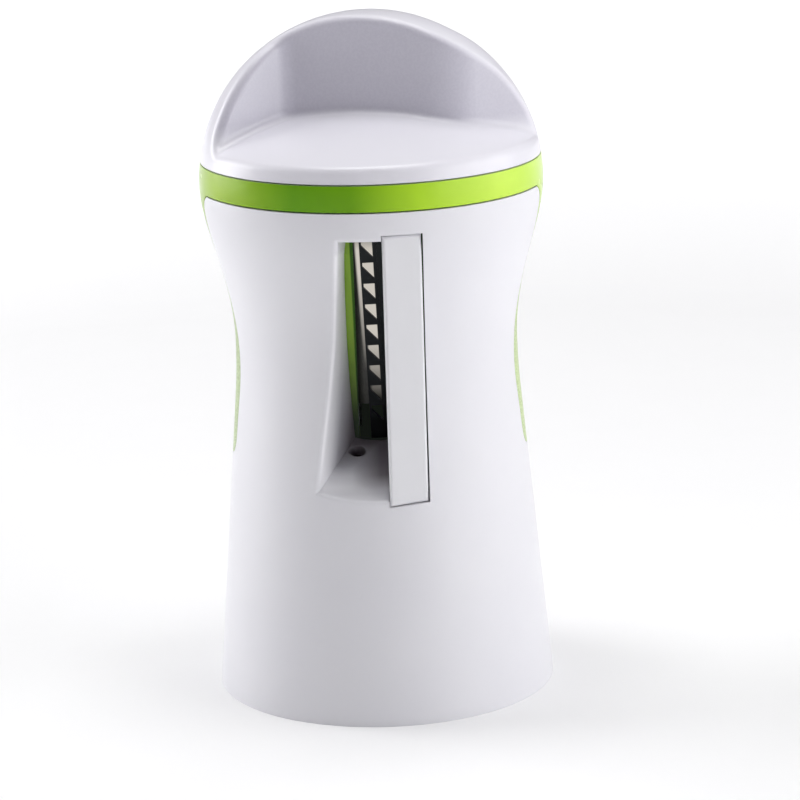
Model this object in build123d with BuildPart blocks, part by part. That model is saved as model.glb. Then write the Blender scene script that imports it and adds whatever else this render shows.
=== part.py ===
from build123d import *
import os
from math import asin, atan2, cos, degrees, hypot, radians, sin, sqrt, tan

# Hand spiralizer, an hourglass body with a turning domed cap. Millimetres, +Z up.
# The origin is at the centre of the base, the cutting window faces -Y.

# --- outer form -------------------------------------------------------------
height = 140.0
base_radius = 35.0
shoulder_radius = 35.0
shoulder_height = 106.0
waist_radius = 29.0
waist_height = 73.0
waist_arc_radius = 130.0
waist_handle = 14.0
shoulder_handle = 10.0
dome_handle = 0.552

# --- body bands -------------------------------------------------------------
shell_wall = 2.4
shell_top = 105.0
shadow_gap = 0.3
ring_height = 5.1
seam_gap = 0.1
fit_clearance = 0.2
running_clearance = 0.08
moving_gap = 0.3

# --- funnel -----------------------------------------------------------------
throat_radius = 12.0
throat_height = 55.0
mouth_inset = 8.4
funnel_wall = 1.5
mouth_height = 96.0
spout_bottom = 44.0
flange_bottom = 97.0
flange_thickness = 3.0
flange_notch_half_width = 9.9

# --- green frame ------------------------------------------------------------
grip_thickness = 1.3
grip_overlap = 0.5
ledge_height = 104.0
ledge_width = 2.2
ring_wall = 4.6
grip_bottom = 49.6
grip_half_width = 7.7
grip_bulge_height = 69.0
grip_low_half_width = 6.9
grip_low_height = 57.0
grip_neck_half_width = 4.3
grip_neck_height = 91.0
grip_shoulder_half_width = 7.2
grip_shoulder_height = 101.0
grip_flare_half_width = 15.5
peg_radius = 2.0
peg_height = 64.0
peg_reach = 0.8
key_width = 4.0
key_depth = 0.7

# --- window and chute -------------------------------------------------------
window_top = 99.2
window_right = 9.6
window_fillet = 0.9
chute_wall = 1.6
floor_front_height = 46.5
floor_front_inset = 1.35
floor_angle = 25.7
chute_reach = 10.0
chute_top_left = 5.85
chute_top_slope = 0.29
chute_bottom_left = 14.4
chute_bottom_slope = 0.48

# --- blades -----------------------------------------------------------------
plate_thickness = 0.5
comb_left = 2.2
plate_right = 8.4
stack_foot = -0.5
stack_skew = 1.5
stack_shift = 0.5
stack_head = 47.3
comb_inset = 0.2
opening_count = 9
opening_pitch = 4.83
opening_first_top = 7.5
opening_width = 2.15
opening_short_side = 1.0
opening_long_side = 3.7
opening_left = 1.75
tab_depth = 0.6
tab_thickness = 0.35
cutting_edge_left = 1.15
bevel_width = 0.9
edge_land = 0.05
slot_left = 4.1
slot_foot = 2.5
slot_head = 44.5
holder_left = 2.4
holder_right = 8.8
holder_thickness = 2.2
pad_left = 2.2
pad_depth = 6.0
pad_margin = 0.5
stack_screw_offset = 7.0
stack_screw_foot = 1.0
stack_screw_head = 46.0
stack_screw_length = 3.4

# --- guard ------------------------------------------------------------------
guard_width = 7.7
guard_left = 1.6
guard_bottom = 44.74
guard_top = 100.3
guard_top_inset = 0.12
guard_bottom_inset = 0.0
guard_turn = 13.0
guard_foot_rise = 0.52
guard_foot_reach = 0.5
guard_wall = 1.4
guard_gap = 0.2
guard_seat_gap = 0.1
guard_edge_fillet = 0.6
guard_notch_reach = 1.5
guard_peg_radius = 0.6
guard_peg_length = 1.4
guard_peg_foot = 9.0
guard_peg_head = 39.0

# --- cap --------------------------------------------------------------------
cap_wall = 2.4
crown_radius = 95.0
crown_top = 120.1
crown_offset = 0.5
fin_left_x = 33.5
fin_left_y = 14.5
fin_fold_x = 16.5
fin_fold_y = 1.2
fin_bend_y = 11.0
fin_right_x = 35.0
fin_right_y = 2.0
fold_fillet = 4.0
bend_fillet = 14.0
rim_fillet = 1.8

# --- cap drive --------------------------------------------------------------
stem_radius = 6.0
stem_shoulder_radius = 8.0
stem_square = 8.0
stem_square_length = 4.6
lid_thickness = 2.2
hub_radius = 8.0
hub_height = 3.0
skirt_gap = 0.4
skirt_wall = 1.4
skirt_length = 3.4
washer_thickness = 0.5
core_thickness = 2.4
core_boss_radius = 8.6
core_boss_top = 116.6
core_boss_roof = 0.6
core_rim_gap = 0.4
washer_gap = 0.1
core_screw_x = 10.0
core_screw_y = 17.3
core_screw_length = 5.2
cap_boss_radius = 2.4
socket_clearance = 0.05

# --- food holder ------------------------------------------------------------
holder_gap = 1.3
holder_wall = 1.6
holder_bottom = 61.6
holder_top = 99.8
holder_floor = 2.6
pin_count = 6
pin_circle = 8.6
pin_radius = 0.8
pin_length = 8.0
pin_embed = 2.2
pin_clearance = 0.02

# --- screws -----------------------------------------------------------------
screw_radius = 0.8
screw_hole_clearance = 0.05
screw_tip_gap = 0.3
screw_head_radius = 1.4
screw_head_height = 1.0
screw_head_fillet = 0.3
recess_reach_share = 0.62
recess_width_share = 0.28
recess_depth_share = 0.6
frame_screw_inset = 0.65
frame_screw_count = 4
frame_screw_length = 12.0
frame_boss_radius = 1.6
base_boss_inset = 5.0
base_screw_count = 4
base_screw_length = 9.0
base_ring_bottom = 1.0
base_ring_thickness = 3.0
base_ring_width = 5.4
base_boss_radius = 2.2
boss_height = 9.0
spindle_screw_radius = 1.5
spindle_head_radius = 2.8
spindle_head_height = 1.8
spindle_recess_radius = 3.6
spindle_screw_length = 15.0
spindle_seat_height = 100.0
chute_screw_left = 4.6
chute_screw_depth = 16.6
chute_hole_radius = 1.7
chute_hole_depth = 3.0
chute_boss_radius = 3.0
chute_boss_floor = 1.2
chute_screw_length = 4.0
lug_thickness = 3.6
lug_reach = 7.0

# --- values worked out from the sizes above -----------------------------------
dome_rise = height - shoulder_height
ring_bottom = shell_top + shadow_gap
ring_top = ring_bottom + ring_height
cap_bottom = ring_top + shadow_gap
flange_top = flange_bottom + flange_thickness
mouth_radius = shoulder_radius - mouth_inset
mouth_outer = mouth_radius + funnel_wall
funnel_slope = (mouth_radius - throat_radius) / (mouth_height - throat_height)
funnel_half_angle = degrees(atan2(mouth_radius - throat_radius, mouth_height - throat_height))
funnel_cos = cos(radians(funnel_half_angle))
bore_radius = shoulder_radius - ring_wall
ledge_radius = bore_radius - ledge_width


waist_centre = waist_radius + waist_arc_radius
taper_run = hypot(waist_centre - base_radius, waist_height)
taper_length = sqrt(taper_run**2 - waist_arc_radius**2)
taper_angle = degrees(
    atan2(waist_height, waist_centre - base_radius) + asin(waist_arc_radius / taper_run)
)
taper_top = taper_length * sin(radians(taper_angle))


def outer_radius(z):
    """Outer radius of the body at a height up to the shoulder."""
    if z < taper_top:
        return base_radius + z / tan(radians(taper_angle))
    if z < waist_height:
        return waist_centre - sqrt(waist_arc_radius**2 - (waist_height - z) ** 2)
    low, high = 0.0, 1.0
    for _ in range(40):
        t = (low + high) / 2
        reached = (
            waist_height * (1 - t) ** 3
            + 3 * (waist_height + waist_handle) * (1 - t) ** 2 * t
            + 3 * (shoulder_height - shoulder_handle) * (1 - t) * t**2
            + shoulder_height * t**3
        )
        low, high = (t, high) if reached < z else (low, t)
    return waist_radius + (shoulder_radius - waist_radius) * (3 * low**2 - 2 * low**3)


def slab(bottom, top):
    """Wide disc between two heights."""
    with BuildPart() as disc:
        with Locations((0, 0, (bottom + top) / 2)):
            Cylinder(3 * base_radius, top - bottom)
    return disc.part


def barrel(inset, bottom, top, section=Plane.YZ):
    """Solid inside the outer form moved inward by inset, from bottom to top."""
    with BuildPart() as form:
        with BuildSketch(section):
            with BuildLine():
                taper = PolarLine((base_radius - inset, 0), taper_length, taper_angle)
                waist = JernArc(taper @ 1, taper % 1, waist_arc_radius, 90 - taper_angle)
                side = Bezier(
                    waist @ 1,
                    (waist_radius - inset, waist_height + waist_handle),
                    (shoulder_radius - inset, shoulder_height - shoulder_handle),
                    (shoulder_radius - inset, shoulder_height),
                )
                dome = Bezier(
                    side @ 1,
                    (shoulder_radius - inset, shoulder_height + dome_handle * (dome_rise - inset)),
                    (dome_handle * (shoulder_radius - inset), height - inset),
                    (0, height - inset),
                )
                Line(dome @ 1, (0, 0))
                Line((0, 0), taper @ 0)
            make_face()
        revolve(axis=Axis.Z)
        add(slab(bottom, top), mode=Mode.INTERSECT)
    return form.part


def funnel_form(offset, bottom, top):
    """Solid inside the funnel's inner wall moved outward by offset, from bottom to top."""
    drop = (offset / funnel_cos - offset) / funnel_slope
    with BuildPart() as form:
        with BuildSketch(Plane.YZ):
            with BuildLine():
                Polyline(
                    (0, 0),
                    (throat_radius + offset, 0),
                    (throat_radius + offset, throat_height - drop),
                    (mouth_radius + offset, mouth_height - drop),
                    (mouth_radius + offset, height),
                    (0, height),
                    close=True,
                )
            make_face()
        revolve(axis=Axis.Z)
        add(slab(bottom, top), mode=Mode.INTERSECT)
    return form.part


# Plane of the blades: it touches the funnel's inner wall along its front line.
# Local x points right, local y up along the wall, local z out of the funnel.
blade_plane = Plane(
    origin=(0, -throat_radius, throat_height),
    x_dir=(1, 0, 0),
    z_dir=(0, -cos(radians(funnel_half_angle)), -sin(radians(funnel_half_angle))),
)

# Plane of the openings and the cutting edge, a little askew for a drawing cut.
edge_plane = Plane(
    origin=blade_plane.from_local_coords((stack_shift, 0, 0)),
    x_dir=blade_plane.x_dir * cos(radians(stack_skew)) + blade_plane.y_dir * sin(radians(stack_skew)),
    z_dir=blade_plane.z_dir,
)

# Plane of the chute floor: local y points into the body and up, local z is its normal.
floor_front_depth = outer_radius(floor_front_height) - floor_front_inset
floor_plane = Plane(
    origin=(0, -floor_front_depth, floor_front_height),
    x_dir=(1, 0, 0),
    z_dir=(0, -sin(radians(floor_angle)), cos(radians(floor_angle))),
)

# Plane of the screw boss in the chute floor.
chute_screw_plane = Plane(
    origin=floor_plane.from_local_coords(
        (-chute_screw_left, (floor_front_depth - chute_screw_depth) / cos(radians(floor_angle)), 0)
    ),
    x_dir=floor_plane.x_dir,
    z_dir=floor_plane.z_dir,
)

# Section across the blades: local x points right, local y out of the funnel.
blade_section = Plane(
    origin=edge_plane.from_local_coords((0, stack_foot - pad_margin, 0)),
    x_dir=edge_plane.x_dir,
    z_dir=-edge_plane.y_dir,
)

# Flat face of the guard, turned to the right and leaning forward at its top.
guard_top_depth = outer_radius(guard_top) - guard_top_inset
guard_bottom_depth = outer_radius(guard_bottom) - guard_bottom_inset
guard_lean = (guard_top_depth - guard_bottom_depth) / (guard_top - guard_bottom)
guard_plane = Plane(
    origin=(guard_left, -(guard_top_depth + guard_bottom_depth) / 2, (guard_bottom + guard_top) / 2),
    x_dir=(cos(radians(guard_turn)), sin(radians(guard_turn)), 0),
    z_dir=(sin(radians(guard_turn)), -cos(radians(guard_turn)), -guard_lean),
)


def above_floor(drop):
    """Large block above the chute floor lowered by drop."""
    with BuildPart() as block:
        with BuildSketch(floor_plane.offset(-drop)):
            Rectangle(4 * base_radius, 6 * base_radius)
        extrude(amount=2 * height)
    return block.part


def chute_form(grow):
    """Space of the chute over its floor, larger by grow at its left and below."""
    rows = (
        (floor_front_height - 4 * chute_wall, chute_bottom_left, chute_bottom_slope),
        (window_top, chute_top_left, chute_top_slope),
    )
    with BuildPart() as form:
        for level, left, slope in rows:
            with BuildSketch(Plane.XY.offset(level)):
                with BuildLine():
                    Polyline(
                        (-left - grow - (2 * base_radius - floor_front_depth) * slope, -2 * base_radius),
                        (-left - grow + (floor_front_depth - chute_reach) * slope, -chute_reach),
                        (window_right, -chute_reach),
                        (window_right, -2 * base_radius),
                        close=True,
                    )
                make_face()
        loft(ruled=True)
        add(above_floor(grow), mode=Mode.INTERSECT)
    return form.part


def blade_block(grow):
    """Block around the clamped end of the blades, their holder and its pads."""
    width = holder_right - pad_left + 2 * grow
    length = stack_head - stack_foot + 2 * pad_margin + 2 * grow
    with BuildPart() as block:
        with BuildSketch(blade_plane.offset(-pad_depth)):
            with Locations(((pad_left + holder_right) / 2, (stack_foot + stack_head) / 2)):
                Rectangle(width, length)
        extrude(amount=pad_depth + holder_face + grow)
    return block.part


def grip_outline(grow):
    """Prism across the body with the outline of the two side grips, larger by grow."""
    flare_height = ring_bottom + grip_overlap - grow
    with BuildPart() as prism:
        with BuildSketch(Plane.YZ):
            with BuildLine():
                flare = Spline(
                    (grip_flare_half_width + grow, flare_height),
                    (grip_shoulder_half_width + grow, grip_shoulder_height - grow),
                    tangents=((-1, 0), (-0.25, -1)),
                )
                flank = Spline(
                    flare @ 1,
                    (grip_neck_half_width + grow, grip_neck_height),
                    (grip_half_width + grow, grip_bulge_height),
                    (grip_low_half_width + grow, grip_low_height),
                    (0, grip_bottom - grow),
                    tangents=((-0.25, -1), (-1, 0)),
                )
                Line(flank @ 1, (0, flare_height))
                Line((0, flare_height), flare @ 0)
            make_face()
            mirror(about=Plane.YZ)
        extrude(amount=2 * base_radius, both=True)
    return prism.part


def ring_of(count, circle, start=45.0):
    """Plan positions of a ring of fasteners."""
    steps = [radians(start + 360 * k / count) for k in range(count)]
    return [(circle * cos(a), circle * sin(a)) for a in steps]


def cap_cutter(grow):
    """Tool that cuts the front finger recess of the cap, larger by grow."""
    far = 3 * shoulder_radius
    flank = (fin_left_y - fin_fold_y) / (fin_left_x - fin_fold_x)
    slope = (fin_bend_y - fin_right_y) / (fin_right_x - fin_fold_x)
    with BuildPart() as tool:
        with BuildSketch(Plane.XY.offset(cap_bottom - cap_wall)) as plan:
            with BuildLine():
                Polyline(
                    (-far, -fin_fold_y - (far - fin_fold_x) * flank),
                    (-fin_fold_x, -fin_fold_y),
                    (fin_fold_x, -fin_bend_y),
                    (far, -fin_bend_y + (far - fin_fold_x) * slope),
                    (far, -4 * far),
                    (-far, -4 * far),
                    close=True,
                )
            make_face()
            corners = plan.vertices().filter_by_position(Axis.X, -far / 2, far / 2)
            fold = corners.sort_by(Axis.X)[0]
            fillet(fold, fold_fillet)
            corners = plan.vertices().filter_by_position(Axis.X, fin_fold_x - 0.1, fin_fold_x + 0.1)
            fillet(corners, bend_fillet)
            if grow:
                offset(amount=grow, kind=Kind.INTERSECTION)
        extrude(amount=height)
        with Locations((crown_offset, 0, crown_top - crown_radius)):
            Sphere(crown_radius - grow, mode=Mode.SUBTRACT)
    return tool.part


def on_window_rim(edge):
    """True for the edges of the window in the outer skin, apart from its right side."""
    point = edge @ 0.5
    over_skin = hypot(point.X, point.Y) - outer_radius(point.Z)
    in_front = point.Y < -chute_reach and point.X < window_right - seam_gap
    at_window = point.Z < window_top + seam_gap and point.X > -2 * chute_bottom_left
    return abs(over_skin) < seam_gap and in_front and at_window and point.Z > guard_bottom


def half_space(side):
    """Large block on one side of the seam, less half of the seam's gap."""
    with BuildPart() as block:
        with Locations((0, side * (3 * base_radius + seam_gap / 2), height / 2)):
            Box(6 * base_radius, 6 * base_radius, 2 * height)
    return block.part


def grip_skin(grow):
    """The two grips in the outer skin of the body, larger by grow."""
    with BuildPart() as skin:
        add(barrel(-grow, grip_bottom - shell_wall, ring_bottom + grip_overlap))
        add(barrel(grip_thickness + grow, 0, height), mode=Mode.SUBTRACT)
        add(grip_outline(grow), mode=Mode.INTERSECT)
    return skin.part


def grip_pegs(grow):
    """Pegs behind the two grips that pass through the seam of the shells."""
    with BuildPart() as pegs:
        with BuildSketch(Plane.YZ):
            with Locations((0, peg_height)):
                Circle(peg_radius + grow)
        extrude(amount=2 * base_radius, both=True)
        add(barrel(grip_thickness / 2, 0, height), mode=Mode.INTERSECT)
        add(barrel(shell_wall + peg_reach + grow, 0, height), mode=Mode.SUBTRACT)
    return pegs.part


def rods(plane, places, radius, start, end):
    """Round rods on a plane, from start to end along its normal."""
    with BuildPart() as group:
        with BuildSketch(plane.offset(start)):
            with Locations(*places):
                Circle(radius)
        extrude(amount=end - start)
    return group.part


def screws(plane, places, seat, length, shank, head, rise):
    """Pan head screws with a cross recess, heads above the seat, shanks below it."""
    with BuildPart() as group:
        add(rods(plane, places, shank, seat - length, seat))
        add(rods(plane, places, head, seat, seat + rise))
        top = seat + rise
        rims = group.edges().filter_by(lambda e: plane.to_local_coords(e.center()).Z > top - rise / 9)
        fillet(rims, screw_head_fillet * rise)
        with BuildSketch(plane.offset(top)):
            with Locations(*places):
                Rectangle(2 * recess_reach_share * head, recess_width_share * head)
                Rectangle(recess_width_share * head, 2 * recess_reach_share * head)
        extrude(amount=-recess_depth_share * rise, mode=Mode.SUBTRACT)
    return group.part


def small_screws(plane, places, seat, length):
    """Small screws of the size used all over the body."""
    return screws(plane, places, seat, length, screw_radius, screw_head_radius, screw_head_height)


skirt_outer = outer_radius(flange_top) - shell_wall - fit_clearance
flange_radius = outer_radius(flange_bottom) - shell_wall - fit_clearance
base_ring_top = base_ring_bottom + base_ring_thickness
base_screw_seat = base_ring_bottom + fit_clearance + screw_head_height
frame_screw_seat = ledge_height - fit_clearance - screw_head_height
hub_top = ledge_height + hub_height
core_boss_bottom = hub_top + washer_thickness + washer_gap
core_screw_seat = cap_bottom - core_thickness + fit_clearance + screw_head_height
cap_boss_top = crown_top - hypot(core_screw_x, core_screw_y) ** 2 / (2 * crown_radius) - cap_wall / 2
spindle_hole_radius = spindle_screw_radius + screw_hole_clearance
guard_notch_back = floor_front_depth - guard_notch_reach
frame_screw_circle = bore_radius - frame_screw_inset
base_boss_circle = base_radius - base_boss_inset
base_ring_inner = base_radius - shell_wall - base_ring_width
skirt_radius = mouth_radius - skirt_gap
underside = Plane(origin=(0, 0, 0), x_dir=(1, 0, 0), z_dir=(0, 0, -1))
slicing_level = comb_inset + plate_thickness
holder_level = slicing_level + plate_thickness
holder_face = holder_level + holder_thickness
stack_screw_seat = holder_face - screw_head_height
stack_screw_tip = stack_screw_seat - stack_screw_length
guard_peg_x = guard_left + guard_width - guard_wall / 2 - screw_hole_clearance
opening_tops = [opening_first_top + k * opening_pitch for k in range(opening_count)]
chute_screw_tip = -chute_hole_depth - chute_screw_length - screw_tip_gap
core_screw_tip = core_screw_seat + core_screw_length + screw_tip_gap
chute_boss_length = chute_hole_depth + chute_boss_floor
pin_top = holder_bottom + pin_embed
pin_places = ring_of(pin_count, pin_circle, start=0.0)
frame_places = ring_of(frame_screw_count, frame_screw_circle)
base_places = ring_of(base_screw_count, base_boss_circle)
core_places = [(x * core_screw_x, y * core_screw_y) for x in (-1, 1) for y in (-1, 1)]
stack_places = [(stack_screw_offset, y) for y in (stack_screw_foot, stack_screw_head)]
guard_peg_places = [(guard_peg_x, y) for y in (guard_peg_foot, guard_peg_head)]
hole_radius = screw_radius + screw_hole_clearance
head_hole_radius = screw_head_radius + screw_hole_clearance

def guard_front(inset, right, head_inset):
    """Front outline of the guard, its foot rising to the right, moved inward by inset."""
    with BuildSketch(Plane.XZ) as outline:
        with BuildLine():
            Polyline(
                (guard_left + inset, guard_bottom + inset),
                (right, guard_bottom + guard_foot_rise + inset),
                (right, guard_top - head_inset),
                (guard_left + inset, guard_top - head_inset),
                close=True,
            )
        make_face()
    return outline.sketch


def guard_block(inset):
    """Body of the guard behind its flat face, smaller by inset on every side but the back."""
    with BuildPart() as block:
        with BuildSketch(Plane.XZ.offset(funnel_wall)):
            add(guard_front(inset, guard_left + guard_width - inset, inset))
        extrude(amount=2 * base_radius)
        with BuildSketch(guard_plane.offset(-inset)):
            Rectangle(4 * base_radius, 4 * base_radius)
        extrude(amount=4 * base_radius, mode=Mode.SUBTRACT)
        if not inset:
            face = block.faces().sort_by(Axis.Y)[0]
            fillet(face.edges(), guard_edge_fillet)
    return block.part


os.makedirs("parts", exist_ok=True)

# --- white body shell in two halves -------------------------------------------
with BuildPart() as bosses:
    add(rods(Plane.XY, frame_places, frame_boss_radius, flange_bottom - boss_height, flange_bottom))
    add(rods(Plane.XY, base_places, base_boss_radius, base_ring_top, base_ring_top + boss_height))
    add(barrel(shell_wall / 2, 0, shell_top), mode=Mode.INTERSECT)

with BuildPart() as shell:
    add(barrel(0, 0, shell_top))
    add(barrel(shell_wall, -1, shell_top + 1), mode=Mode.SUBTRACT)
    add(bosses.part)
    add(funnel_form(funnel_wall + fit_clearance, 0, flange_bottom), mode=Mode.SUBTRACT)
    add(
        rods(Plane.XY, frame_places, hole_radius, flange_bottom - boss_height + 1, flange_bottom),
        mode=Mode.SUBTRACT,
    )
    add(
        rods(Plane.XY, base_places, hole_radius, base_ring_top, base_ring_top + boss_height - 1),
        mode=Mode.SUBTRACT,
    )
    add(grip_skin(fit_clearance), mode=Mode.SUBTRACT)
    add(grip_pegs(fit_clearance), mode=Mode.SUBTRACT)

with BuildPart() as rear_shell:
    add(shell.part)
    add(half_space(1), mode=Mode.INTERSECT)
rear_shell.part.label = "rear_shell"
export_step(rear_shell.part, "parts/rear_shell.step")

with BuildPart() as chute:
    add(chute_form(chute_wall))
    add(barrel(shell_wall / 2, 0, window_top), mode=Mode.INTERSECT)
    add(rods(chute_screw_plane, [(0, 0)], chute_boss_radius, -chute_boss_length, 0))
    add(funnel_form(funnel_wall + fit_clearance, 0, height), mode=Mode.SUBTRACT)
    add(blade_block(fit_clearance), mode=Mode.SUBTRACT)

with BuildPart() as front_shell:
    add(shell.part)
    add(half_space(-1), mode=Mode.INTERSECT)
    add(chute.part)
    add(chute_form(0), mode=Mode.SUBTRACT)
    fillet(front_shell.edges().filter_by(on_window_rim), window_fillet)
    with BuildSketch(Plane.XZ.offset(guard_notch_back)):
        add(guard_front(-guard_seat_gap, window_right, -guard_gap))
    extrude(amount=2 * base_radius, mode=Mode.SUBTRACT)
    add(
        rods(chute_screw_plane, [(0, 0)], chute_hole_radius, -chute_hole_depth, chute_hole_depth),
        mode=Mode.SUBTRACT,
    )
    add(rods(chute_screw_plane, [(0, 0)], hole_radius, -base_radius, 0), mode=Mode.SUBTRACT)
front_shell.part.label = "front_shell"
export_step(front_shell.part, "parts/front_shell.step")

# --- green frame: top ring and both side grips in one piece -------------------
with BuildPart() as grip_frame:
    add(barrel(0, ring_bottom, ring_top))
    add(rods(Plane.XY, [(0, 0)], skirt_outer, flange_top, ring_bottom))
    add(rods(Plane.XY, [(0, 0)], ledge_radius, flange_top, ring_top), mode=Mode.SUBTRACT)
    with BuildSketch(Plane.XY.offset(ledge_height)):
        Circle(bore_radius)
        Rectangle(key_width + 2 * fit_clearance, 2 * (bore_radius + key_depth + fit_clearance))
    extrude(amount=height, mode=Mode.SUBTRACT)
    add(grip_skin(0))
    add(grip_pegs(0))
    add(
        rods(Plane.XY, frame_places, head_hole_radius, frame_screw_seat, ring_top),
        mode=Mode.SUBTRACT,
    )
    add(rods(Plane.XY, frame_places, hole_radius, flange_top, ring_top), mode=Mode.SUBTRACT)
grip_frame.part.label = "grip_frame"
export_step(grip_frame.part, "parts/grip_frame.step")

with BuildPart() as frame_screws:
    add(small_screws(Plane.XY, frame_places, frame_screw_seat, frame_screw_length))
frame_screws.part.label = "frame_screws"
export_step(frame_screws.part, "parts/frame_screws.step")

# --- green funnel ---------------------------------------------------------------
with BuildPart() as funnel:
    add(funnel_form(funnel_wall, spout_bottom, flange_top))
    add(rods(Plane.XY, [(0, 0)], flange_radius, flange_bottom, flange_top))
    with BuildSketch(Plane.XY.offset(flange_bottom)):
        with Locations((0, -1.5 * base_radius)):
            Rectangle(2 * flange_notch_half_width, 3 * base_radius)
        Circle(mouth_outer, mode=Mode.SUBTRACT)
    extrude(amount=flange_thickness, mode=Mode.SUBTRACT)
    for foot, head in ((stack_foot - pad_margin, slot_foot), (slot_head, stack_head + pad_margin)):
        with BuildSketch(blade_plane.offset(comb_inset)):
            with Locations(((pad_left + holder_right) / 2, (foot + head) / 2)):
                Rectangle(holder_right - pad_left, head - foot)
        extrude(amount=-pad_depth)
    with BuildSketch(chute_screw_plane.offset(-chute_boss_length)):
        with Locations((0, lug_reach / 2 - chute_boss_radius / 2)):
            Rectangle(2 * chute_boss_radius, lug_reach + chute_boss_radius)
    extrude(amount=-lug_thickness)
    add(funnel_form(0, 0, height), mode=Mode.SUBTRACT)
    add(slab(flange_top, 2 * height), mode=Mode.SUBTRACT)
    with BuildSketch(blade_plane.offset(comb_inset)):
        with Locations(((holder_right + fit_clearance - slot_left) / 2, (stack_foot + stack_head) / 2)):
            Rectangle(
                holder_right + fit_clearance + slot_left,
                stack_head - stack_foot + 2 * fit_clearance,
            )
    extrude(amount=pad_depth, mode=Mode.SUBTRACT)
    with BuildSketch(blade_plane.offset(-pad_depth)):
        with Locations(((holder_right - slot_left) / 2, (slot_foot + slot_head) / 2)):
            Rectangle(holder_right + slot_left, slot_head - slot_foot)
        with Locations(((pad_left - slot_left) / 2, (stack_foot + stack_head) / 2)):
            Rectangle(pad_left + slot_left, stack_head - stack_foot + 2 * fit_clearance)
    extrude(amount=2 * pad_depth, mode=Mode.SUBTRACT)
    add(rods(Plane.XY, frame_places, hole_radius, flange_bottom, flange_top), mode=Mode.SUBTRACT)
    add(
        rods(blade_plane, stack_places, hole_radius, stack_screw_tip - screw_tip_gap, holder_face),
        mode=Mode.SUBTRACT,
    )
    add(rods(chute_screw_plane, [(0, 0)], hole_radius, chute_screw_tip, 0), mode=Mode.SUBTRACT)
funnel.part.label = "funnel"
export_step(funnel.part, "parts/funnel.step")

with BuildPart() as chute_screw:
    add(small_screws(chute_screw_plane, [(0, 0)], -chute_hole_depth, chute_screw_length))
chute_screw.part.label = "chute_screw"
export_step(chute_screw.part, "parts/chute_screw.step")

# --- blades, clamped on the funnel by their holder -----------------------------
with BuildPart() as comb_blade:
    with BuildSketch(blade_plane.offset(comb_inset)):
        with Locations(((plate_right - slot_left) / 2, (stack_foot + stack_head) / 2)):
            Rectangle(plate_right + slot_left, stack_head - stack_foot)
    extrude(amount=plate_thickness)
    with BuildSketch(edge_plane.offset(comb_inset)):
        with Locations((-comb_left - slot_left, (stack_foot + stack_head) / 2)):
            Rectangle(2 * slot_left, 2 * stack_head)
        for top in opening_tops:
            with BuildLine():
                Polyline(
                    (-opening_left, top),
                    (-opening_left, top - opening_short_side),
                    (opening_width - opening_left, top - opening_long_side),
                    (opening_width - opening_left, top),
                    close=True,
                )
            make_face()
    extrude(amount=plate_thickness, mode=Mode.SUBTRACT)
    with BuildSketch(edge_plane.offset(comb_inset)):
        for top in opening_tops:
            with Locations((opening_width / 2 - opening_left, top + tab_thickness / 2)):
                Rectangle(opening_width, tab_thickness)
    extrude(amount=-tab_depth)
    add(rods(blade_plane, stack_places, hole_radius, 0, holder_face), mode=Mode.SUBTRACT)
comb_blade.part.label = "comb_blade"
export_step(comb_blade.part, "parts/comb_blade.step")

with BuildPart() as slicing_blade:
    with BuildSketch(blade_section):
        with BuildLine():
            Polyline(
                (cutting_edge_left, slicing_level),
                (2 * plate_right, slicing_level),
                (2 * plate_right, slicing_level + plate_thickness),
                (cutting_edge_left + bevel_width, slicing_level + plate_thickness),
                (cutting_edge_left, slicing_level + edge_land),
                close=True,
            )
        make_face()
    extrude(amount=stack_foot - stack_head - 2 * pad_margin)
    with BuildSketch(blade_plane):
        with Locations((0, (stack_foot + stack_head) / 2)):
            Rectangle(2 * plate_right, stack_head - stack_foot)
    extrude(amount=holder_face, mode=Mode.INTERSECT)
    add(rods(blade_plane, stack_places, hole_radius, 0, holder_face), mode=Mode.SUBTRACT)
slicing_blade.part.label = "slicing_blade"
export_step(slicing_blade.part, "parts/slicing_blade.step")

with BuildPart() as blade_holder:
    with BuildSketch(blade_plane.offset(holder_level)):
        with Locations(((holder_left + holder_right) / 2, (stack_foot + stack_head) / 2)):
            Rectangle(holder_right - holder_left, stack_head - stack_foot)
    extrude(amount=holder_thickness)
    add(rods(blade_plane, stack_places, hole_radius, 0, holder_face), mode=Mode.SUBTRACT)
    add(
        rods(blade_plane, stack_places, head_hole_radius, stack_screw_seat, 2 * holder_face),
        mode=Mode.SUBTRACT,
    )
    add(
        rods(
            blade_plane,
            guard_peg_places,
            guard_peg_radius + screw_hole_clearance,
            holder_face - guard_peg_length - fit_clearance,
            holder_face,
        ),
        mode=Mode.SUBTRACT,
    )
blade_holder.part.label = "blade_holder"
export_step(blade_holder.part, "parts/blade_holder.step")

with BuildPart() as blade_screws:
    add(small_screws(blade_plane, stack_places, stack_screw_seat, stack_screw_length))
blade_screws.part.label = "blade_screws"
export_step(blade_screws.part, "parts/blade_screws.step")


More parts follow.
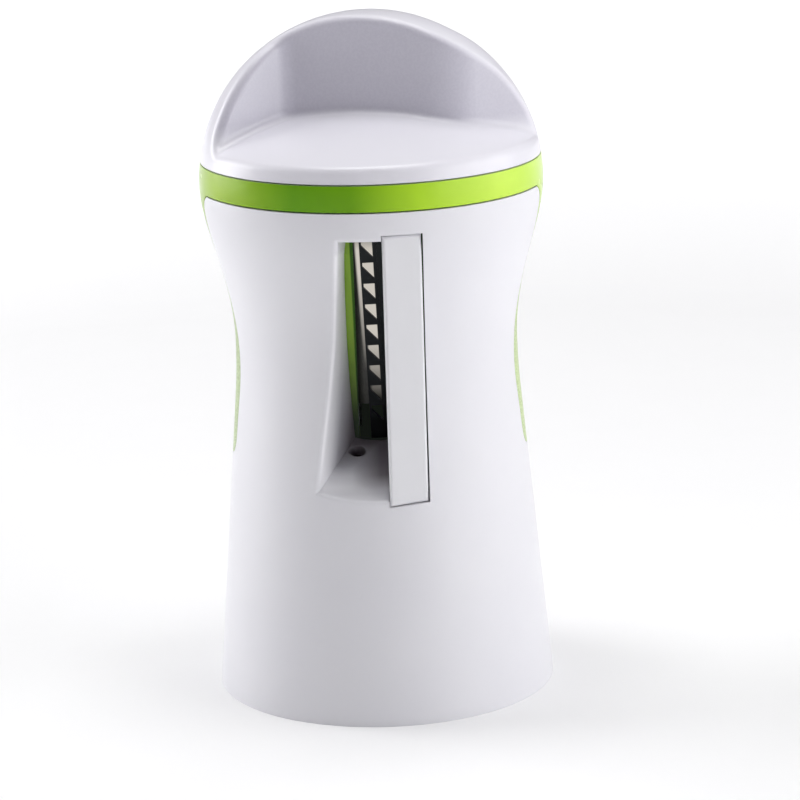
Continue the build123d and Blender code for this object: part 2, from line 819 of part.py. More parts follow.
# --- white guard over the blades -------------------------------------------------
with BuildPart() as blade_guard:
    add(guard_block(0))
    add(guard_block(guard_wall), mode=Mode.SUBTRACT)
    with BuildSketch(blade_plane.offset(holder_face)):
        Rectangle(8 * base_radius, 8 * base_radius)
    extrude(amount=-4 * base_radius, mode=Mode.SUBTRACT)
    with BuildSketch(floor_plane.offset(fit_clearance)):
        with Locations((0, 2 * base_radius + guard_foot_reach)):
            Rectangle(4 * base_radius, 4 * base_radius)
    extrude(amount=-2 * base_radius, mode=Mode.SUBTRACT)
    add(
        rods(Plane.XY, [(0, 0)], skirt_outer + moving_gap, flange_top - moving_gap, height),
        mode=Mode.SUBTRACT,
    )
    add(
        rods(
            blade_plane,
            guard_peg_places,
            guard_peg_radius,
            holder_face - guard_peg_length,
            holder_face + guard_peg_length,
        )
    )
blade_guard.part.label = "blade_guard"
export_step(blade_guard.part, "parts/blade_guard.step")

# --- base ring that ties the two halves ------------------------------------------
with BuildPart() as base_ring:
    add(barrel(shell_wall + fit_clearance, base_ring_bottom, base_ring_top))
    add(rods(Plane.XY, [(0, 0)], base_ring_inner, 0, height), mode=Mode.SUBTRACT)
    add(rods(Plane.XY, base_places, head_hole_radius, 0, base_screw_seat), mode=Mode.SUBTRACT)
    add(rods(Plane.XY, base_places, hole_radius, 0, height), mode=Mode.SUBTRACT)
base_ring.part.label = "base_ring"
export_step(base_ring.part, "parts/base_ring.step")

with BuildPart() as base_screws:
    add(small_screws(underside, base_places, -base_screw_seat, base_screw_length))
base_screws.part.label = "base_screws"
export_step(base_screws.part, "parts/base_screws.step")

# --- lid plate: it slides in the ring and carries the turning cap ------------------
with BuildPart() as lid_plate:
    with BuildSketch(Plane.XY.offset(ledge_height)):
        Circle(bore_radius - moving_gap)
        Rectangle(key_width, 2 * (bore_radius + key_depth))
    extrude(amount=lid_thickness)
    add(rods(Plane.XY, [(0, 0)], hub_radius, ledge_height, hub_top))
    with BuildSketch(Plane.XY.offset(ledge_height)):
        Circle(skirt_radius)
        Circle(skirt_radius - skirt_wall, mode=Mode.SUBTRACT)
    extrude(amount=-skirt_length)
    add(rods(Plane.XY, [(0, 0)], stem_radius + running_clearance, 0, height), mode=Mode.SUBTRACT)
lid_plate.part.label = "lid_plate"
export_step(lid_plate.part, "parts/lid_plate.step")

with BuildPart() as slip_washer:
    with BuildSketch(Plane.XY.offset(hub_top)):
        Circle(hub_radius)
        Circle(stem_radius + fit_clearance, mode=Mode.SUBTRACT)
    extrude(amount=washer_thickness)
slip_washer.part.label = "slip_washer"
export_step(slip_washer.part, "parts/slip_washer.step")

# --- food holder with its stem ------------------------------------------------------
with BuildPart() as food_holder:
    add(funnel_form(-holder_gap, holder_bottom, holder_top))
    add(
        funnel_form(-holder_gap - holder_wall, holder_bottom + holder_floor, holder_top + 1),
        mode=Mode.SUBTRACT,
    )
    add(rods(Plane.XY, [(0, 0)], stem_shoulder_radius, holder_bottom, ledge_height - moving_gap))
    add(rods(Plane.XY, [(0, 0)], stem_radius, holder_bottom, core_boss_bottom))
    with BuildSketch(Plane.XY.offset(core_boss_bottom)):
        Rectangle(stem_square, stem_square)
    extrude(amount=stem_square_length)
    add(rods(Plane.XY, [(0, 0)], spindle_recess_radius, 0, spindle_seat_height), mode=Mode.SUBTRACT)
    add(rods(Plane.XY, [(0, 0)], spindle_hole_radius, 0, height), mode=Mode.SUBTRACT)
    add(
        rods(Plane.XY, pin_places, pin_radius + pin_clearance, holder_bottom, pin_top),
        mode=Mode.SUBTRACT,
    )
food_holder.part.label = "food_holder"
export_step(food_holder.part, "parts/food_holder.step")

with BuildPart() as holder_pins:
    add(rods(Plane.XY, pin_places, pin_radius, pin_top - pin_length, pin_top))
holder_pins.part.label = "holder_pins"
export_step(holder_pins.part, "parts/holder_pins.step")

with BuildPart() as spindle_screw:
    add(
        screws(
            underside,
            [(0, 0)],
            -spindle_seat_height,
            spindle_screw_length,
            spindle_screw_radius,
            spindle_head_radius,
            spindle_head_height,
        )
    )
spindle_screw.part.label = "spindle_screw"
export_step(spindle_screw.part, "parts/spindle_screw.step")

# --- cap core, screwed into the cap and driven square on the stem --------------------
with BuildPart() as cap_core:
    add(rods(Plane.XY, [(0, 0)], bore_radius - core_rim_gap, cap_bottom - core_thickness, cap_bottom))
    add(rods(Plane.XY, [(0, 0)], core_boss_radius, core_boss_bottom, core_boss_top))
    with BuildSketch(Plane.XY.offset(core_boss_bottom)):
        Rectangle(stem_square + 2 * socket_clearance, stem_square + 2 * socket_clearance)
    extrude(amount=stem_square_length + fit_clearance, mode=Mode.SUBTRACT)
    add(rods(Plane.XY, [(0, 0)], spindle_hole_radius, 0, core_boss_top - core_boss_roof), mode=Mode.SUBTRACT)
    add(rods(Plane.XY, core_places, head_hole_radius, 0, core_screw_seat), mode=Mode.SUBTRACT)
    add(rods(Plane.XY, core_places, hole_radius, 0, height), mode=Mode.SUBTRACT)
cap_core.part.label = "cap_core"
export_step(cap_core.part, "parts/cap_core.step")

with BuildPart() as core_screws:
    add(small_screws(underside, core_places, -core_screw_seat, core_screw_length))
core_screws.part.label = "core_screws"
export_step(core_screws.part, "parts/core_screws.step")

# --- white domed cap with two finger recesses -----------------------------------------
recess = cap_cutter(0)
inner_recess = cap_cutter(cap_wall)

with BuildPart() as cap_hollow:
    add(barrel(cap_wall, cap_bottom - 1, height, Plane.XZ))
    add(inner_recess, mode=Mode.SUBTRACT)
    add(inner_recess.rotate(Axis.Z, 180), mode=Mode.SUBTRACT)

with BuildPart() as cap_dome:
    add(barrel(0, cap_bottom, height, Plane.XZ))
    add(recess, mode=Mode.SUBTRACT)
    add(recess.rotate(Axis.Z, 180), mode=Mode.SUBTRACT)
    curved = cap_dome.edges().filter_by(GeomType.LINE, reverse=True)
    fillet(curved.filter_by(lambda edge: edge.bounding_box().min.Z > cap_bottom + 1), rim_fillet)
    add(cap_hollow.part, mode=Mode.SUBTRACT)
    add(rods(Plane.XY, core_places, cap_boss_radius, cap_bottom, cap_boss_top))
    add(rods(Plane.XY, core_places, hole_radius, cap_bottom, core_screw_tip), mode=Mode.SUBTRACT)
cap_dome.part.label = "cap_dome"
export_step(cap_dome.part, "parts/cap_dome.step")
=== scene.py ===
# %% [markdown]
# # A hand spiralizer with a turning domed cap
#
# The construction comes in as a fixed frame: every moulded part, blade and screw is already
# there, in metres, at its real place. This lesson adds no shapes. It gives those parts their
# finishes and sets them on a pale floor under soft light.

# %% Load the frame
import bpy
from math import cos, radians, sin
from mathutils import Matrix, Vector


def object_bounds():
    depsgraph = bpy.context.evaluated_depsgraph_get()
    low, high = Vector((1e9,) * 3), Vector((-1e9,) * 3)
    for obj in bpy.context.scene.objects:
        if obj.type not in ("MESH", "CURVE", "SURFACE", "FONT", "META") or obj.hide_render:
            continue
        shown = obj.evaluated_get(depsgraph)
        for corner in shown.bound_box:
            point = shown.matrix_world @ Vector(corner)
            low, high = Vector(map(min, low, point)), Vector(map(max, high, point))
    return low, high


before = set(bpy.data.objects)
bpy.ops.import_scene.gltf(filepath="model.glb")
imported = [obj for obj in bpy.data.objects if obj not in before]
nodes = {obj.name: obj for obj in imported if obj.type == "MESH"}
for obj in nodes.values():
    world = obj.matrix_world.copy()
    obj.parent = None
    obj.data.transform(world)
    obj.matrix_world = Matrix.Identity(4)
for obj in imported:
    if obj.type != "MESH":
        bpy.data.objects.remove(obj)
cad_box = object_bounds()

print("parts in the frame:", len(nodes))

# %% [markdown]
# ## The camera
#
# The product is seen from a little above, straight at its cutting window. A long lens far away
# keeps its sides nearly parallel. A constraint could aim the camera, but it would not let it
# roll. Here the camera is built from its own three axes, so its place and turns are exact.

# %% Camera
camera_place = Vector((0.0, -0.65006, 0.2236))
camera_pitch = 0.248148
camera_yaw = 0.006821
camera_roll = -0.031518
camera_lens = 145.58
sensor_width = 36.0
nearest = 0.01
farthest = 20.0

ahead = Vector((
    sin(camera_yaw) * cos(camera_pitch),
    cos(camera_yaw) * cos(camera_pitch),
    -sin(camera_pitch),
))
level = ahead.cross(Vector((0, 0, 1))).normalized()
upright = level.cross(ahead)
camera_x = level * cos(camera_roll) + upright * sin(camera_roll)
camera_y = upright * cos(camera_roll) - level * sin(camera_roll)

bpy.ops.object.camera_add()
camera = bpy.context.object
camera.name = "camera"
camera.matrix_world = Matrix((
    (camera_x.x, camera_y.x, -ahead.x, camera_place.x),
    (camera_x.y, camera_y.y, -ahead.y, camera_place.y),
    (camera_x.z, camera_y.z, -ahead.z, camera_place.z),
    (0, 0, 0, 1),
))
camera.data.lens = camera_lens
camera.data.sensor_width = sensor_width
camera.data.clip_start = nearest
camera.data.clip_end = farthest
bpy.context.scene.camera = camera
print("camera distance:", round(camera_place.length, 3), "m")

# %% [markdown]
# ## The studio air
#
# A white product shows its form through the dark between the lights, so the air that lights it
# is kept dim. A dim world would also be a dark wall behind the floor. The Light Path node tells
# the two apart: what the camera sees directly is a second, pale background.

# %% Air and wall
scene = bpy.context.scene
scene.view_settings.view_transform = "Standard"
scene.view_settings.look = "None"

air_colour = (0.93, 0.87, 1.0, 1)
air_strength = 0.055
wall_colour = (0.93, 0.93, 0.94, 1)

world = bpy.data.worlds.new("studio air")
world.use_nodes = True
studio = world.node_tree
air = studio.nodes["Background"]
air.inputs["Color"].default_value = air_colour
air.inputs["Strength"].default_value = air_strength
wall = studio.nodes.new("ShaderNodeBackground")
wall.inputs["Color"].default_value = wall_colour
path = studio.nodes.new("ShaderNodeLightPath")
either = studio.nodes.new("ShaderNodeMixShader")
studio.links.new(path.outputs["Is Camera Ray"], either.inputs[0])
studio.links.new(air.outputs[0], either.inputs[1])
studio.links.new(wall.outputs[0], either.inputs[2])
studio.links.new(either.outputs[0], studio.nodes["World Output"].inputs["Surface"])
scene.world = world
print("air strength:", air_strength)

# %% [markdown]
# ## The soft boxes
#
# Two large boxes stand at the sides, the left one a little behind the product. Nothing shines
# from the front, so the front of the barrel turns a quiet grey. A box overhead whitens the crown
# and the floor, and a weak wide one behind keeps the back from going dark. Area lights are used
# because their size sets how softly the shade runs round the barrel.

# %% Soft boxes
product_middle = Vector((0.0, 0.0, 0.07))


def soft_box(name, azimuth, elevation, distance, width, tall, power):
    """Adds a rectangular light that faces the product. Azimuth 0 is the camera's side."""
    a, e = radians(azimuth), radians(elevation)
    outward = Vector((sin(a) * cos(e), -cos(a) * cos(e), sin(e)))
    bpy.ops.object.light_add(type="AREA", location=product_middle + outward * distance)
    light = bpy.context.object
    light.name = name
    light.rotation_euler = outward.to_track_quat("Z", "Y").to_euler()
    light.data.shape = "RECTANGLE"
    light.data.size = width
    light.data.size_y = tall
    light.data.energy = power


soft_box("right soft box", azimuth=74, elevation=10, distance=1.2, width=1.5, tall=1.2, power=14.9)
soft_box("left soft box", azimuth=-109, elevation=10, distance=1.2, width=0.8, tall=1.2, power=13.9)
soft_box("overhead soft box", azimuth=0, elevation=90, distance=1.4, width=0.9, tall=0.9, power=13.2)
soft_box("background soft box", azimuth=180, elevation=48, distance=2.0, width=3.0, tall=1.6, power=6)

# %% [markdown]
# ## The floor
#
# One flat sheet carries the product. It is large enough to fill the main view. From a low
# side, its far edge meets the pale wall colour of the world.

# %% Floor
floor_size = 8
bpy.ops.mesh.primitive_plane_add(size=floor_size, location=(0, 0, 0))
floor = bpy.context.object
floor.name = "floor"
print("floor:", floor_size, "m wide")

# %% [markdown]
# ## Writing shaders as formulas
#
# A pattern is easier to read as a formula than as a web of nodes. `Value` wraps one socket and
# lets Python's own operators add the Math nodes. Its `over`, `above` and `below` are soft steps,
# which is how most masks in this lesson are made.


# %% Value
class Value:
    """A number socket in a material. Operators on it add Math nodes."""

    def __init__(self, finish, socket):
        self.finish = finish
        self.socket = socket

    def maths(self, operation, *others):
        inputs = {0: self}
        inputs.update({k + 1: other for k, other in enumerate(others)})
        node = self.finish.node("ShaderNodeMath", {"operation": operation}, inputs)
        return Value(self.finish, node.outputs[0])

    def __add__(self, other):
        return self.maths("ADD", other)

    def __sub__(self, other):
        return self.maths("SUBTRACT", other)

    def __mul__(self, other):
        return self.maths("MULTIPLY", other)

    def __rsub__(self, other):
        return (self * -1) + other

    def over(self, low, high):
        """0 below low and 1 above high, with a straight run between."""
        limits = {"Value": self, "From Min": low, "From Max": high}
        node = self.finish.node("ShaderNodeMapRange", {"clamp": True}, limits)
        return Value(self.finish, node.outputs["Result"])

    def above(self, guard_highlight, fade):
        """0 up to the edge and 1 from a fade above it."""
        return (self - guard_highlight).over(0.0, fade)

    def below(self, guard_highlight, fade):
        """1 until a fade short of the edge and 0 from the edge on."""
        return (guard_highlight - self).over(0.0, fade)


# %% [markdown]
# `Finish` holds one material. Its `node` method takes a node's type, then its settings, then what
# goes into its sockets. The other methods are what the finishes share. The noises are laid over
# object coordinates, which are metres here, so each grain has a real size.


# %% Finish
class Finish:
    """One material, built node by node."""

    def __init__(self, name):
        self.material = bpy.data.materials.new(name)
        self.material.use_nodes = True
        self.tree = self.material.node_tree
        self.tree.nodes.clear()
        self.place = self.node("ShaderNodeTexCoord").outputs["Object"]

    def node(self, kind, settings=None, inputs=None):
        """Adds a node. An input is a number, a colour, a socket or a Value."""
        made = self.tree.nodes.new(kind)
        for key, value in (settings or {}).items():
            setattr(made, key, value)
        for key, value in (inputs or {}).items():
            if isinstance(value, Value):
                value = value.socket
            if isinstance(value, bpy.types.NodeSocket):
                self.tree.links.new(value, made.inputs[key])
            else:
                made.inputs[key].default_value = value
        return made

    def noise(self, size, detail=2.0, place=None):
        """Soft noise with features of about size metres."""
        inputs = {"Vector": place or self.place, "Scale": 1 / size, "Detail": detail}
        return Value(self, self.node("ShaderNodeTexNoise", None, inputs).outputs[0])

    def split(self, vector):
        """The three parts of a vector, each as a Value."""
        parts = self.node("ShaderNodeSeparateXYZ", None, {"Vector": vector})
        return [Value(self, parts.outputs[k]) for k in range(3)]

    def axes(self):
        """The three object coordinates in metres."""
        return self.split(self.place)

    def normals(self):
        """The three parts of the surface direction in object space."""
        return self.split(self.node("ShaderNodeTexCoord").outputs["Normal"])

    def openness(self, reach):
        """1 where nothing stands within reach of the surface, less where something does."""
        around = self.node("ShaderNodeAmbientOcclusion", {"samples": 8}, {"Distance": reach})
        return Value(self, around.outputs["AO"])

    def edge_mask(self, rounded, low, high):
        """1 on the sharp edges that a rounded normal has turned, and 0 on open faces."""
        flat = self.node("ShaderNodeNewGeometry").outputs["Normal"]
        both = {0: rounded, 1: flat}
        match = self.node("ShaderNodeVectorMath", {"operation": "DOT_PRODUCT"}, both)
        return (1 - Value(self, match.outputs["Value"])).over(low, high)

    def ramp(self, factor, *stops):
        """Colour from a factor between 0 and 1 and stops of position and colour."""
        node = self.node("ShaderNodeValToRGB", None, {"Fac": factor})
        elements = node.color_ramp.elements
        while len(elements) < len(stops):
            elements.new(1.0)
        for element, (position, colour) in zip(elements, stops):
            element.position = position
            element.color = colour
        return node.outputs["Color"]

    def stretched(self, factors, turn=(0, 0, 0)):
        """Object coordinates turned, then scaled along each axis."""
        inputs = {"Vector": self.place, "Rotation": turn, "Scale": factors}
        return self.node("ShaderNodeMapping", None, inputs).outputs["Vector"]

    def blend(self, factor, first, second):
        """Colour that goes from first to second with the factor."""
        node = self.node("ShaderNodeMix", {"data_type": "RGBA"}, {0: factor, 6: first, 7: second})
        return node.outputs[2]

    def bump(self, height, depth, normal=None):
        """Relief of depth metres from a height between 0 and 1."""
        inputs = {"Height": height, "Distance": depth, "Strength": 1.0}
        if normal is not None:
            inputs["Normal"] = normal
        return self.node("ShaderNodeBump", None, inputs).outputs["Normal"]

    def soft_edges(self, radius, samples=4):
        """Normal that rounds the sharp edges by radius, as a mould's own radii do."""
        node = self.node("ShaderNodeBevel", {"samples": samples}, {"Radius": radius})
        return node.outputs["Normal"]

    def surface(self, **sockets):
        """Ends the material with a Principled shader. Socket names use _ for a space."""
        inputs = {key.replace("_", " "): value for key, value in sockets.items()}
        shader = self.node("ShaderNodeBsdfPrincipled", None, inputs)
        output = self.node("ShaderNodeOutputMaterial")
        self.tree.links.new(shader.outputs["BSDF"], output.inputs["Surface"])
        return self.material


def dress(material, *names):
    """Gives a material to CAD parts by name."""
    for name in names:
        mesh = nodes[name].data
        mesh.materials.clear()
        mesh.materials.append(material)
    print(material.name, "on", ", ".join(names))


# %% [markdown]
# ## Floor finish
#
# The floor is pale matt paper with a faint mottle. The soft boxes light it only near the
# product. Larger lights would keep it even further out, but they would also flatten the barrel.
# So a glow of its own grows with the distance and keeps the ground pale from every side.

# %% Floor finish
glow_start = 0.35
glow_full = 1.3

paper = Finish("pale paper")
paper_x, paper_y, _ = paper.axes()
away = (paper_x * paper_x + paper_y * paper_y).maths("SQRT")
mottle = paper.noise(0.02, detail=3)
near_glow = (0.01, 0.01, 0.01, 1)
far_glow = (0.85, 0.85, 0.86, 1)
floor.data.materials.append(paper.surface(
    Base_Color=paper.blend(mottle, (0.945, 0.945, 0.95, 1), (0.965, 0.965, 0.97, 1)),
    Roughness=0.75,
    Emission_Color=paper.blend(away.over(glow_start, glow_full), near_glow, far_glow),
    Emission_Strength=1.0,
))
print("floor glow from", glow_start, "m to", glow_full, "m")

# %% [markdown]
# ## Gloss white plastic
#
# The shells, the cap and the guard are moulded in white ABS against polished steel. Real ABS is
# never one flat white: it cools with a slow waviness, a fine orange-peel skin and faint clouds
# where the melt met, and handling leaves hairlines that only show in the gloss. A picture could
# carry all this, but it would blur up close. Each is one layer of noise here, at its real size.


# %% White plastic
def white_plastic(name, colour, clouded, gloss, painted_light_and_shade=None):
    """White ABS. Clouded is the colour of its faint clouds, gloss its mean roughness.
    Painted_light_and_shade is a function that lays painted highlights and painted shade over the
    plastic."""
    cloud_size, wave_size, peel_size, hairline_size = 0.018, 0.012, 0.0011, 0.0006
    wave_depth, peel_depth = 0.00003, 0.000004
    mould_radius = 0.00025
    abs_white = Finish(name)
    clouds = abs_white.noise(cloud_size, detail=3)
    peel = abs_white.noise(peel_size)
    waviness = abs_white.noise(wave_size, detail=1)
    along = abs_white.stretched((1, 0.06, 0.35), turn=(0.3, 0.5, 0.2))
    scuffs = abs_white.noise(hairline_size, place=along).over(0.62, 0.72)
    edges = abs_white.soft_edges(mould_radius)
    skin = abs_white.bump(peel, peel_depth, normal=edges)
    paint = abs_white.blend(clouds.over(0.35, 0.7), colour, clouded)
    if painted_light_and_shade:
        paint = painted_light_and_shade(abs_white, paint)
    return abs_white.surface(
        Base_Color=paint,
        Roughness=peel * 0.05 + scuffs * 0.06 + (gloss - 0.03),
        Normal=abs_white.bump(waviness, wave_depth, normal=skin),
        IOR=1.52,
    )


# %% [markdown]
# ## Shells
#
# The lip of the chute in the front shell gets a painted highlight, a brighter white. Deeper in,
# and in the corner behind the guard, painted shade turns the wall a dull mauve grey. Both marks
# change only the colour, and both are masks by place, so they stay on the plastic when the view
# changes. The lip's mask needs the surface direction too, or it would spread over the barrel
# beside it.

# %% Where the chute is
chute_left, chute_right = -0.0125, 0.004
chute_low, chute_high = 0.047, 0.097
chute_back = -0.004
lip_back = -0.0205
# Where the painted shade deep in the chute and the painted shadow behind the guard begin.
shade_from, shade_run = -0.0215, 0.007
corner_left, corner_from, corner_run = -0.0058, -0.0285, 0.005
chute_fade = 0.001


# %% Shell finish
def shell_painted_light(abs_white, paint):
    """Paints a highlight on the lip of the chute and painted shade into its depth and behind the
    guard.
    """
    x, y, z = abs_white.axes()
    wide = x.above(chute_left, chute_fade) * x.below(chute_right, chute_fade)
    tall = z.above(chute_low, chute_fade) * z.below(chute_high, chute_fade)
    chute = wide * tall * y.below(chute_back, 2 * chute_fade)
    sideways, _, up = abs_white.normals()
    inward = sideways.over(0.1, 0.5).maths("MAXIMUM", up.over(0.3, 0.6))
    lip_highlight = chute * inward * y.below(lip_back, 0.003)
    # Painted highlight on the lip of the chute.
    with_lip_highlight = abs_white.blend(lip_highlight * 0.9, paint, (0.96, 0.955, 0.99, 1))
    depth = y.above(shade_from, shade_run)
    corner = x.over(corner_left, 0.0) * y.above(corner_from, corner_run)
    # Painted shade deep in the chute and painted shadow in the corner behind the guard.
    chute_shade = chute * depth.maths("MAXIMUM", corner) * 0.8
    return abs_white.blend(chute_shade, with_lip_highlight, (0.14, 0.105, 0.125, 1))


dress(white_plastic(
    "shell white",
    colour=(0.80, 0.795, 0.835, 1),
    clouded=(0.785, 0.78, 0.825, 1),
    gloss=0.34,
    painted_light_and_shade=shell_painted_light,
), "front_shell", "rear_shell")

# %% [markdown]
# ## Guard
#
# The guard is a flat plate with rounded long edges, which carry a painted highlight. The rounded
# normal of the Bevel node differs from the flat one only at an edge, and that difference is the
# mask.


# %% Guard finish
def guard_painted_highlight(abs_white, paint):
    """Paints a highlight on the guard's edges."""
    highlight_radius = 0.0009
    guard_highlight = abs_white.edge_mask(abs_white.soft_edges(highlight_radius, samples=8), 0.01, 0.12)
    # Painted highlight along the guard's edges.
    return abs_white.blend(guard_highlight * 0.8, paint, (0.93, 0.93, 0.96, 1))


dress(white_plastic(
    "guard white",
    colour=(0.80, 0.80, 0.83, 1),
    clouded=(0.785, 0.785, 0.815, 1),
    gloss=0.36,
    painted_light_and_shade=guard_painted_highlight,
), "blade_guard")

# %% [markdown]
# ## Cap
#
# The two upright walls that the fingers press are painted a shade greyer than the crown: painted
# shade, grained by a fine noise. They are found by their direction: they face front or back, near
# the middle of the cap and above its rim.

# %% Where the finger walls are
wall_reach = 0.0165
wall_foot = 0.1155


# %% Cap finish
def cap_painted_shade(abs_white, paint):
    """Paints shade on the two finger walls of the cap."""
    _, y, z = abs_white.axes()
    _, facing, _ = abs_white.normals()
    upright_face = facing.maths("ABSOLUTE").over(0.45, 0.95)
    near_middle = y.maths("ABSOLUTE").below(wall_reach, 0.003)
    shaded_finger_wall = upright_face * near_middle * z.above(wall_foot, 0.0035)
    shade_grain = abs_white.noise(0.0005, detail=1).over(0.4, 0.6)
    # Painted shade on the finger walls, grained by a fine noise.
    return abs_white.blend(shaded_finger_wall * (shade_grain * 0.1 + 0.9), paint, (0.57, 0.555, 0.637, 1))


dress(white_plastic(
    "cap white",
    colour=(0.80, 0.79, 0.845, 1),
    clouded=(0.785, 0.775, 0.835, 1),
    gloss=0.30,
    painted_light_and_shade=cap_painted_shade,
), "cap_dome")

# %% [markdown]
# ## Inner white parts
#
# The parts inside and underneath share the recipe of the shells. They carry no painted light or
# shade, and their white is warmer and a little duller, so that they read as separate mouldings
# when the cap lifts.

# %% Inner white parts
dress(white_plastic(
    "holder white",
    colour=(0.80, 0.78, 0.72, 1),
    clouded=(0.77, 0.75, 0.69, 1),
    gloss=0.38,
), "blade_holder", "lid_plate", "cap_core", "base_ring")

# %% [markdown]
# ## Natural plastic of the food holder
#
# The cone that presses the vegetable against the blades is left undyed, and undyed plastic lets
# light through. Real subsurface light would need many samples this deep inside the barrel. So
# emission stands for it as painted light, behind the openings of the comb and along the comb's
# leaning edge, as the camera sees that edge from the front. It is there only while the barrel
# stands close around the cone: once the holder is lifted out, the studio lights it and the emission
# is off. The same node at a shorter reach paints shade into the corners of the cone.

# %% Where light comes through
comb_lean = 0.043
comb_edge = 0.00124
comb_side = -0.004
teeth_low = 0.0625
strip_low = 0.069
glow_reach = 0.0075
glow_top = 0.100
barrel_reach = 0.03
shade_reach = 0.010

cream = Finish("natural plastic")
cream_x, cream_y, cream_z = cream.axes()
past_edge = cream_x + cream_z * comb_lean - comb_edge
between_teeth = cream_z.above(teeth_low, 0.015) * past_edge.above(0.0001, 0.0003)
strip = past_edge.above(-0.0010, 0.0004) * past_edge.below(0.0003, 0.0003)
beside_comb = cream_z.above(strip_low, 0.022) * strip
behind_comb = past_edge.below(glow_reach, 0.003) * cream_y.below(comb_side, 0.006)
seated = cream.openness(barrel_reach).below(0.75, 0.35)
glow = (between_teeth + beside_comb) * seated * behind_comb * cream_z.below(glow_top, 0.004)
print("light comes through from", teeth_low, "m to", glow_top, "m")

# %% Food holder
cream_clouds = cream.noise(0.006, detail=3)
cream_skin = cream.bump(cream.noise(0.0008), 0.000005, normal=cream.soft_edges(0.0002))
# Painted shade where other surfaces stand close to the cone.
unshaded = cream.openness(shade_reach).over(0.45, 0.95)
undyed = cream.blend(cream_clouds, (0.80, 0.77, 0.70, 1), (0.76, 0.73, 0.65, 1))
dress(cream.surface(
    Base_Color=cream.blend(unshaded, (0.035, 0.037, 0.03, 1), undyed),
    Roughness=cream_clouds * 0.1 + 0.35,
    Normal=cream_skin,
    Emission_Color=cream.blend(glow, (0.0, 0.0, 0.0, 1), (0.62, 0.58, 0.52, 1)),
    Emission_Strength=0.95,
    IOR=1.5,
), "food_holder")

# %% [markdown]
# ## Green plastic
#
# The ring and its two grips are moulded in one green that lets some light in. The band is leaf
# green where little light comes through, and lime where more does. A ramp across the width paints
# that light into the colour, as the light itself would need a thin, see-through wall. The grips'
# stipple frosts them, and their paler colour is partly that frost and partly a painted sheen. At a
# grazing angle, the fine skin scatters light, which is the shader's own sheen.

# %% Ring and grips
ring_left, ring_right = cad_box[0][0], cad_box[1][0]
grip_top = 0.1015

lime = Finish("lime green")
lime_x, _, lime_z = lime.axes()
lime_clouds = lime.noise(0.01, detail=3)
lime_waves = lime.noise(0.007, detail=1)
stipple = lime.noise(0.00045, detail=1).over(0.45, 0.62) * lime_z.below(grip_top, 0.004)
# Painted light: lime where more light comes through the band, leaf green where less does.
painted_light_ramp = lime.ramp(
    lime_x.over(ring_left, ring_right),
    (0.06, (0.34, 0.53, 0.015, 1)),
    (0.28, (0.135, 0.36, 0.006, 1)),
    (0.44, (0.16, 0.385, 0.006, 1)),
    (0.63, (0.44, 0.73, 0.03, 1)),
    (0.85, (0.59, 0.85, 0.09, 1)),
)
deeper = lime.blend(lime_clouds.over(0.35, 0.75) * 0.12, painted_light_ramp, (0.10, 0.26, 0.01, 1))
# Paler grips: partly the stipple's frost, partly a painted sheen.
frost_and_sheen = lime_z.below(grip_top, 0.006) * 0.5
dress(lime.surface(
    Base_Color=lime.blend(frost_and_sheen, deeper, (0.50, 0.58, 0.42, 1)),
    Roughness=lime_clouds * 0.08 + stipple * 0.12 + 0.22,
    Normal=lime.bump(stipple, 0.00002, normal=lime.bump(lime_waves, 0.00002)),
    Specular_IOR_Level=0.15,
    Sheen_Weight=1.0,
    Sheen_Roughness=0.3,
    Sheen_Tint=(0.93, 1.0, 0.82, 1),
    IOR=1.5,
), "grip_frame")

# %% [markdown]
# ## Funnel
#
# The funnel is a deeper green in a thinner wall. Its lip at the blade slot is painted light in
# front and painted shade behind, and painted shade darkens it into the barrel below. The line
# between painted light and shade leans with the lip, so the mask is a formula of two coordinates.
# A very faint emission, painted light, keeps the deepest part from turning fully black.

# %% Funnel
lip_lean = 0.0128
lip_edge = 0.0035
fade_top, fade_run = 0.079, 0.021
slot_side = -0.008

leaf = Finish("funnel green")
leaf_x, leaf_y, leaf_z = leaf.axes()
leaf_clouds = leaf.noise(0.008, detail=3)
# Painted light in front of the lip's line and painted shade behind it.
shaded_side = (leaf_x + leaf_z * lip_lean + lip_edge).over(-0.0001, 0.0001)
shade_below = leaf_z.below(fade_top, fade_run) * leaf_y.below(slot_side, 0.002)
lit_and_shaded = leaf.blend(shaded_side, (0.27, 0.45, 0.05, 1), (0.025, 0.10, 0.0, 1))
mottled = leaf.blend(leaf_clouds.over(0.35, 0.7) * 0.25, lit_and_shaded, (0.08, 0.20, 0.01, 1))
dress(leaf.surface(
    # Painted shade towards the bottom of the funnel.
    Base_Color=leaf.blend(shade_below * 0.97, mottled, (0.018, 0.03, 0.018, 1)),
    Roughness=leaf_clouds * 0.1 + 0.3,
    Normal=leaf.bump(leaf.noise(0.0009), 0.000004),
    # Faint emission: painted light in the deepest part.
    Emission_Color=(0.006, 0.007, 0.006, 1),
    Emission_Strength=1.0,
    Specular_IOR_Level=0.1,
    IOR=1.5,
), "funnel")
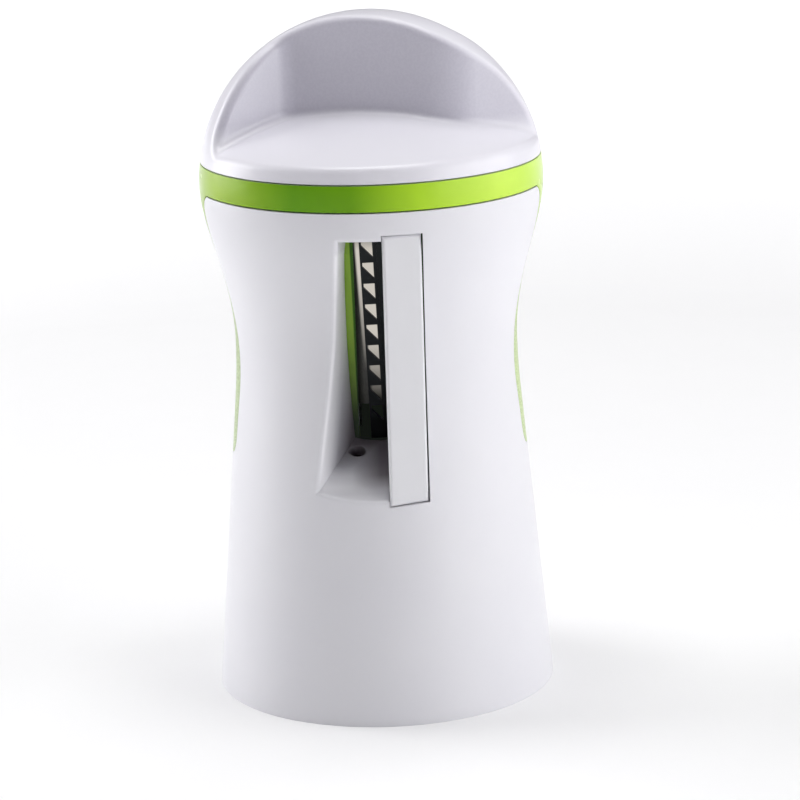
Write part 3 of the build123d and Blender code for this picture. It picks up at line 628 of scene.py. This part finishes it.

# %% [markdown]
# ## Steel
#
# Both blades are stamped from spring strip, nearly black in painted shade, with a painted highlight
# on their edges. The pins and screws are plain steel; the screw in the chute is painted darker, as
# shade at the foot of its hole. One recipe serves all: fine scratches from a noise stretched along
# the part, slow stains, and edges lightened by the guard's edge mask, as wear on pins and screws.


# %% Steel
def strip_steel(name, colour, gloss, bright, edge_radius):
    """Steel with its grain along the part. Bright is the colour of its edges."""
    stained = (*(0.7 * c for c in colour[:3]), 1)
    steel = Finish(name)
    grain = steel.noise(0.0002, detail=3, place=steel.stretched((1, 0.04, 0.04)))
    stain = steel.noise(0.006, detail=3)
    edges = steel.soft_edges(edge_radius, samples=8)
    base = steel.blend(stain.over(0.3, 0.75), colour, stained)
    return steel.surface(
        Base_Color=steel.blend(steel.edge_mask(edges, 0.05, 0.3), base, bright),
        Metallic=1.0,
        Roughness=grain * 0.2 + (gloss - 0.1),
        Normal=steel.bump(grain, 0.000006, normal=edges),
    )


# Painted shade: the blades' nearly black colour. Painted highlight: their lighter edges.
dress(strip_steel(
    "steel in painted shade",
    colour=(0.021, 0.023, 0.024, 1),
    gloss=0.40,
    bright=(0.25, 0.25, 0.235, 1),
    edge_radius=0.00008,
), "comb_blade", "slicing_blade")
dress(strip_steel(
    "pin steel",
    colour=(0.62, 0.62, 0.63, 1),
    gloss=0.28,
    bright=(0.7, 0.7, 0.7, 1),
    edge_radius=0.0001,
), "holder_pins")
dress(strip_steel(
    "screw steel",
    colour=(0.56, 0.55, 0.53, 1),
    gloss=0.36,
    bright=(0.7, 0.69, 0.67, 1),
    edge_radius=0.0001,
), "frame_screws", "base_screws", "blade_screws", "core_screws", "spindle_screw")
# Painted shade: the chute screw is darker, as shade at the foot of its hole.
dress(strip_steel(
    "chute screw steel in painted shade",
    colour=(0.10, 0.07, 0.07, 1),
    gloss=0.45,
    bright=(0.2, 0.16, 0.16, 1),
    edge_radius=0.0001,
), "chute_screw")

# %% [markdown]
# ## Nylon washer
#
# The cap turns on a natural nylon washer: waxy and a little yellow. One noise serves for its
# colour, its roughness and its relief, since all three come from the same uneven skin.

# %% Nylon washer
nylon = Finish("nylon")
wax = nylon.noise(0.002, detail=3)
dress(nylon.surface(
    Base_Color=nylon.blend(wax, (0.72, 0.70, 0.62, 1), (0.66, 0.64, 0.56, 1)),
    Roughness=wax * 0.1 + 0.42,
    Normal=nylon.bump(wax, 0.00001, normal=nylon.soft_edges(0.0001)),
), "slip_washer")
